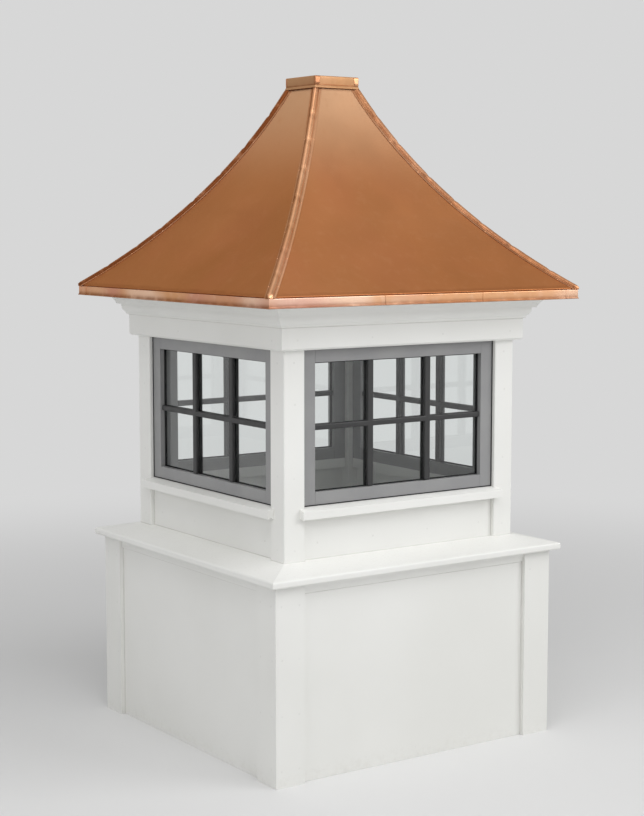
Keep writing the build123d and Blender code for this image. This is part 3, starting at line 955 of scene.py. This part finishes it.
def drip_edge(side, seed):
    """One side's band, with its laps and corner wraps as a piece of their own."""
    band = Mesh()
    drip_strip(band, None, None, 0.0, 0.0, BAND_COLUMNS, seed)
    band.piece(
        f"copper_drip_edge_{side}", BRIGHT_COPPER, SIDES[side], sharp=50,
        replaces=[f"drip_edge_{side}"],
    )
    laps = Mesh()
    for place in LAP_PLACES:
        start, end = place - LAP_FRONT, place + LAP_TAIL
        drip_strip(laps, start, end, LAP_PROUD, LAP_TAIL_PROUD, LAP_COLUMNS, seed)
    for start, end in ((None, CORNER_WRAP - EAVE_REACH), (EAVE_REACH - CORNER_WRAP, None)):
        drip_strip(laps, start, end, WRAP_PROUD, WRAP_PROUD, WRAP_COLUMNS, seed)
    laps.piece(f"copper_drip_laps_{side}", BRIGHT_COPPER, SIDES[side], sharp=50)


for index, side in enumerate(SIDES):
    drip_edge(side, seed=2.7 + 6.1 * index)


# Roof cap: a folded pan, with a tab lapped round each corner onto its front or back face

CAP_FACE = CAP_REACH - 0.2 * MM
CAP_INSIDE = CAP_REACH - 1.3 * MM
CORNER_STEPS = 4
# The pan's outline, over the top, down the skirt and out over its kicked-out hem:
# (reach, level, corner radius in millimetres, crease)
PAN_OUTLINE = [
    (CAP_REACH - 12 * MM, TOTAL_HEIGHT, 1.2, 0.0),
    (CAP_REACH - 1.6 * MM, TOTAL_HEIGHT, 1.2, 0.0),
    (CAP_REACH - 0.7 * MM, TOTAL_HEIGHT - 0.4 * MM, 1.4, 0.0),
    (CAP_FACE, TOTAL_HEIGHT - 1.4 * MM, 1.6, 0.0),
    (CAP_FACE, TOTAL_HEIGHT - 8 * MM, 1.6, 0.0),
    (CAP_FACE, SKIRT_FOOT + 12 * MM, 1.6, 0.2),
    (CAP_FACE, SKIRT_FOOT + 8.2 * MM, 1.6, 1.0),
    (CAP_REACH + 0.1 * MM, SKIRT_FOOT + 7.2 * MM, 1.8, 0.5),
    (CAP_REACH + 0.6 * MM, SKIRT_FOOT + 5.9 * MM, 1.8, 0.0),
    (CAP_REACH + 2.3 * MM, SKIRT_FOOT + 1.6 * MM, 2.2, 0.0),
    (CAP_REACH + 2.4 * MM, SKIRT_FOOT + 0.8 * MM, 2.2, 0.0),
    (CAP_REACH + 1.9 * MM, SKIRT_FOOT + 0.2 * MM, 2.0, 0.2),
    (CAP_REACH + 1.2 * MM, SKIRT_FOOT, 2.0, 0.4),
    (CAP_INSIDE, SKIRT_FOOT + 6.2 * MM, 1.4, 0.6),
    (CAP_INSIDE, TOTAL_HEIGHT - 1.4 * MM, 1.2, 0.6),
    (CAP_REACH - 12 * MM, TOTAL_HEIGHT - 1.4 * MM, 1.2, 0.6),
]
TAB_FOOT = SKIRT_FOOT + 8.4 * MM
TAB_TOP = TOTAL_HEIGHT - 1.2 * MM
TAB_WIDTH = 17 * MM
TAB_SLANT = 4 * MM
TAB_WRAP = 6 * MM
TAB_PROUD = 0.8 * MM
TAB_SINK = 0.3 * MM
TAB_BEND = 1.6 * MM
# Up the tab: (share of its height, share of its thickness)
TAB_ROWS = [(0.0, 0.2), (0.03, 1.0), (0.35, 1.0), (0.7, 1.0), (0.97, 1.0), (1.0, 0.2)]
# The left tab of a face is painted darker than the right one, as painted shade
TAB_SHADE = {-1: 0.75, 1: 0.1}


def square_ring(reach, level, corner_radius):
    """A square ring with round corners."""
    inner = reach - corner_radius
    ring = []
    for quarter, (sign_x, sign_y) in enumerate([(1, 1), (-1, 1), (-1, -1), (1, -1)]):
        for i in range(CORNER_STEPS + 1):
            angle = math.radians(90 * quarter + 90 * i / CORNER_STEPS)
            x = sign_x * inner + corner_radius * math.cos(angle)
            y = sign_y * inner + corner_radius * math.sin(angle)
            ring.append((x, y, level))
    return ring


def roof_cap():
    rings = [square_ring(reach, level, radius * MM) for reach, level, radius, _ in PAN_OUTLINE]
    marks = [[crease] * len(rings[0]) for _, _, _, crease in PAN_OUTLINE]
    pan = Mesh()
    pan.grid(rings, around=True, ends=True, marks=marks)
    pan.piece("copper_roof_cap", CAP_COPPER, sharp=40, replaces=["roof_cap"])


def tab_line(sign, proud, width):
    """A line at one level from the skirt's side face, round the corner and along its front face."""
    face = CAP_FACE + proud
    bend = TAB_BEND + proud
    line = [(face, TAB_WRAP), (face, bend)]
    for degrees in (18, 36, 54, 72):
        angle = math.radians(degrees)
        line.append((face - bend + bend * math.cos(angle), bend - bend * math.sin(angle)))
    line.append((face - bend, 0.0))
    line += [(face - share * width, 0.0) for share in (0.35, 0.7, 0.97, 1.0)]
    return [(sign * x, -face + back) for x, back in line]


def cap_tabs(side):
    """The side skirts' tabs, lapped onto the front or back face and cut off at a slant."""
    tabs = Mesh()
    for sign, tab_shade in TAB_SHADE.items():
        rows, marks = [], []
        for share, thick in TAB_ROWS:
            level = TAB_FOOT + (TAB_TOP - TAB_FOOT) * share
            width = TAB_WIDTH - (1 - share) * TAB_SLANT
            outer = tab_line(sign, TAB_PROUD * thick, width)
            inner = tab_line(sign, -TAB_SINK, width)
            rows.append([(x, y, level) for x, y in outer + inner[::-1]])
            middle = tab_shade if thick == 1.0 else 1.0
            marks.append([1.0] + [middle] * (len(outer) - 2) + [1.0] * (len(inner) + 1))
        tabs.grid(rows, around=True, ends=True, marks=marks)
    # The tabs are in the paler hip copper, partly as painted highlight
    tabs.piece(f"copper_cap_tabs_{side}", HIP_COPPER, SIDES[side], sharp=50)


roof_cap()
for side in ("front", "back"):
    cap_tabs(side)


# Windows: bars on both faces of the glass, gaskets and perimeter seals

SIGHT_HALF = sash_high.x - STILE_WIDTH
SIGHT_LOW = sash_low.z + RAIL_HEIGHT
SIGHT_HIGH = sash_high.z - RAIL_HEIGHT
OUTER_BAR_DEPTH = 11 * MM
INNER_BAR_DEPTH = 10 * MM
GASKET_WIDTH = 3 * MM
GASKET_DEPTH = 2.4 * MM
SEAL_WIDTH = 2.6 * MM
SEAL_DEPTH = 2 * MM


def lattice(mesh, x_lines, z_lines, solid, y_back, y_front):
    """A flat lattice: the cells of the grid that solid(i, j) accepts, as one closed body."""
    wide, tall = len(x_lines) - 1, len(z_lines) - 1
    filled = {(i, j) for i in range(wide) for j in range(tall) if solid(i, j)}
    numbers = {}

    def at(i, j, y):
        key = (i, j, y)
        if key not in numbers:
            numbers[key] = mesh.point((x_lines[i], y, z_lines[j]))
        return numbers[key]

    for i, j in filled:
        for y, flip in ((y_front, False), (y_back, True)):
            corners = [at(i, j, y), at(i + 1, j, y), at(i + 1, j + 1, y), at(i, j + 1, y)]
            mesh.faces.append(tuple(reversed(corners)) if flip else tuple(corners))
        edges = [
            ((i, j - 1), (i, j), (i + 1, j)),
            ((i + 1, j), (i + 1, j), (i + 1, j + 1)),
            ((i, j + 1), (i + 1, j + 1), (i, j + 1)),
            ((i - 1, j), (i, j + 1), (i, j)),
        ]
        for neighbour, first, second in edges:
            if neighbour not in filled:
                front = at(*first, y_front), at(*second, y_front)
                back = at(*first, y_back), at(*second, y_back)
                mesh.faces.append((front[0], back[0], back[1], front[1]))


def border(mesh, half, low, high, width, y_back, y_front):
    """A flat rectangular border inside an opening."""
    x_lines = [-half, -half + width, half - width, half]
    z_lines = [low, low + width, high - width, high]
    lattice(mesh, x_lines, z_lines, lambda i, j: (i, j) != (1, 1), y_back, y_front)


def bar_lines():
    """The edges of the six lights and the bars between them, across and upward."""
    light = (2 * SIGHT_HALF - 2 * UPRIGHT_BAR) / 3
    x_lines = [-SIGHT_HALF]
    for step in (light, UPRIGHT_BAR, light, UPRIGHT_BAR):
        x_lines.append(x_lines[-1] + step)
    x_lines.append(SIGHT_HALF)
    middle = (SIGHT_LOW + SIGHT_HIGH) / 2
    return x_lines, [SIGHT_LOW, middle - CROSS_BAR / 2, middle + CROSS_BAR / 2, SIGHT_HIGH]


def window(side):
    x_lines, z_lines = bar_lines()
    for face, near, far in (
        ("outer", GLASS_OUT, GLASS_OUT + OUTER_BAR_DEPTH),
        ("inner", GLASS_IN, GLASS_IN - INNER_BAR_DEPTH),
    ):
        bars = Mesh()
        lattice(bars, x_lines, z_lines, lambda i, j: i in (1, 3) or j == 1, -near, -far)
        bars.piece(
            f"window_bars_{face}_{side}", DARK, SIDES[side], bevel=(3.2 * MM, 3)
        )
    gasket = Mesh()
    for near, far in ((GLASS_OUT, GLASS_OUT + GASKET_DEPTH), (GLASS_IN, GLASS_IN - GASKET_DEPTH)):
        border(gasket, SIGHT_HALF, SIGHT_LOW, SIGHT_HIGH, GASKET_WIDTH, -near, -far)
    gasket.piece(f"window_gasket_{side}", RUBBER, SIDES[side], bevel=(0.8 * MM, 2))
    seal = Mesh()
    back, front = 0.2 * MM - FRAME_FACE, -FRAME_FACE - SEAL_DEPTH
    border(seal, sash_high.x, sash_low.z, sash_high.z, SEAL_WIDTH, back, front)
    seal.piece(f"window_seal_{side}", RUBBER, SIDES[side], bevel=(0.9 * MM, 2))


for side in SIDES:
    window(side)


# Floor, surroundings and light

SURROUND = 0.68
HALFWAY = 0.52
OVERHEAD = 1.1
AMBIENT = 0.42
FADE_FROM = 1.2
FADE_TO = 4.4
FLOOR_RINGS = [0.9, 2.0, 4.0, 8.0, 16.0, 40.0]
FLOOR_SIDES = 64


def stage_material():
    """A matt pale floor with a barely visible grain, that fades into the surroundings far out."""
    shader = Shader("pale_floor", Roughness=0.9, Specular_IOR_Level=0.1)
    grain = shader.add("ShaderNodeTexNoise", {"Scale": 3.0}).outputs["Fac"]
    pale, darker = (0.75, 0.75, 0.75, 1.0), (0.735, 0.735, 0.73, 1.0)
    shader.set("Base Color", shader.blend(grain, pale, darker))
    distance = shader.add("ShaderNodeVectorMath", {0: shader.place}, operation="LENGTH")
    fade = shader.spread(distance.outputs["Value"], FADE_FROM, FADE_TO)
    near = shader.surface.outputs[0]
    far = shader.add("ShaderNodeEmission", {"Strength": SURROUND}).outputs[0]
    mixed = shader.add("ShaderNodeMixShader", {0: fade, 1: near, 2: far}).outputs[0]
    shader.feed(shader.tree.nodes["Material Output"].inputs["Surface"], mixed)
    return shader.material


def make_floor():
    """A round floor, made of rings about a fan."""
    points = [(0.0, 0.0, 0.0)]
    for ring in FLOOR_RINGS:
        for i in range(FLOOR_SIDES):
            angle = 2 * math.pi * i / FLOOR_SIDES
            points.append((ring * math.cos(angle), ring * math.sin(angle), 0.0))
    around = [(i, (i + 1) % FLOOR_SIDES) for i in range(FLOOR_SIDES)]
    faces = [(0, 1 + i, 1 + j) for i, j in around]
    for ring in range(len(FLOOR_RINGS) - 1):
        low, high = 1 + ring * FLOOR_SIDES, 1 + (ring + 1) * FLOOR_SIDES
        faces += [(low + i, high + i, high + j, low + j) for i, j in around]
    mesh = bpy.data.meshes.new("studio_floor")
    mesh.from_pydata(points, [], faces)
    mesh.materials.append(stage_material())
    floor = bpy.data.objects.new("studio_floor", mesh)
    bpy.context.scene.collection.objects.link(floor)


def make_surroundings():
    """Even pale surroundings, a little darker halfway up and brighter overhead, as the camera,
    metal and glass see them. They light matt surfaces less than that, so shadows keep depth."""
    world = bpy.data.worlds.new("studio")
    bpy.context.scene.world = world
    world.use_nodes = True
    sky = Nodes(world.node_tree)
    direction = sky.add("ShaderNodeTexCoord").outputs["Generated"]
    height = sky.add("ShaderNodeSeparateXYZ", {0: direction}).outputs["Z"]
    level = SURROUND
    for low, high, end in ((0.2, 0.45, HALFWAY), (0.7, 1.0, OVERHEAD)):
        level = sky.spread(height, low, high, level, end)
    path = sky.add("ShaderNodeLightPath")
    seen = path.outputs["Is Camera Ray"]
    for ray in ("Is Glossy Ray", "Is Transmission Ray"):
        seen = sky.math("MAXIMUM", seen, path.outputs[ray])
    strength = sky.add("ShaderNodeMix", {0: seen, 2: AMBIENT, 3: level}).outputs[0]
    background = world.node_tree.nodes["Background"]
    sky.feed(background.inputs["Strength"], strength)
    background.inputs["Color"].default_value = (1.0, 1.0, 1.0, 1.0)


def aim(thing, direction):
    """Turns a lamp or a camera to look along a direction, and puts it in the scene."""
    thing.rotation_mode = "QUATERNION"
    thing.rotation_quaternion = Vector(direction).to_track_quat("-Z", "Y")
    bpy.context.scene.collection.objects.link(thing)


def lamp(name, place, target, size, power):
    data = bpy.data.lights.new(name, "AREA")
    data.shape = "RECTANGLE"
    data.size, data.size_y = size
    data.energy = power
    made = bpy.data.objects.new(name, data)
    made.location = place
    aim(made, Vector(target) - Vector(place))


make_floor()
make_surroundings()
lamp("key", place=(2.83, -3.75, 3.15), target=(0, 0, 1.2), size=(3.6, 2.6), power=104)
lamp("high", place=(-1.6, -2.5, 4.9), target=(0, 0, 0.9), size=(3.6, 3.0), power=96)
lamp("fill", place=(-4.4, -1.2, 2.6), target=(0, 0, 0.9), size=(2.4, 2.4), power=26)
lamp("rim", place=(-2.7, 3.0, 4.6), target=(0, 0, 1.7), size=(1.8, 1.6), power=9)


# Camera, at the angle of the roof's photograph

VIEW_AZIMUTH = math.radians(-34.65)
VIEW_TILT = math.radians(-6.2)
CAMERA_DISTANCE = 4.9
CAMERA_HEIGHT = 1.437
CAMERA_LENS = 76.5
SENSOR_WIDTH = 36.0


def make_camera():
    data = bpy.data.cameras.new("camera")
    data.lens = CAMERA_LENS
    data.sensor_width = SENSOR_WIDTH
    camera = bpy.data.objects.new("camera", data)
    sine, cosine = math.sin(VIEW_AZIMUTH), math.cos(VIEW_AZIMUTH)
    camera.location = (sine * CAMERA_DISTANCE, -cosine * CAMERA_DISTANCE, CAMERA_HEIGHT)
    level = math.cos(VIEW_TILT)
    aim(camera, (-sine * level, cosine * level, math.sin(VIEW_TILT)))
    bpy.context.scene.camera = camera


make_camera()
bpy.context.scene.view_settings.view_transform = "Standard"
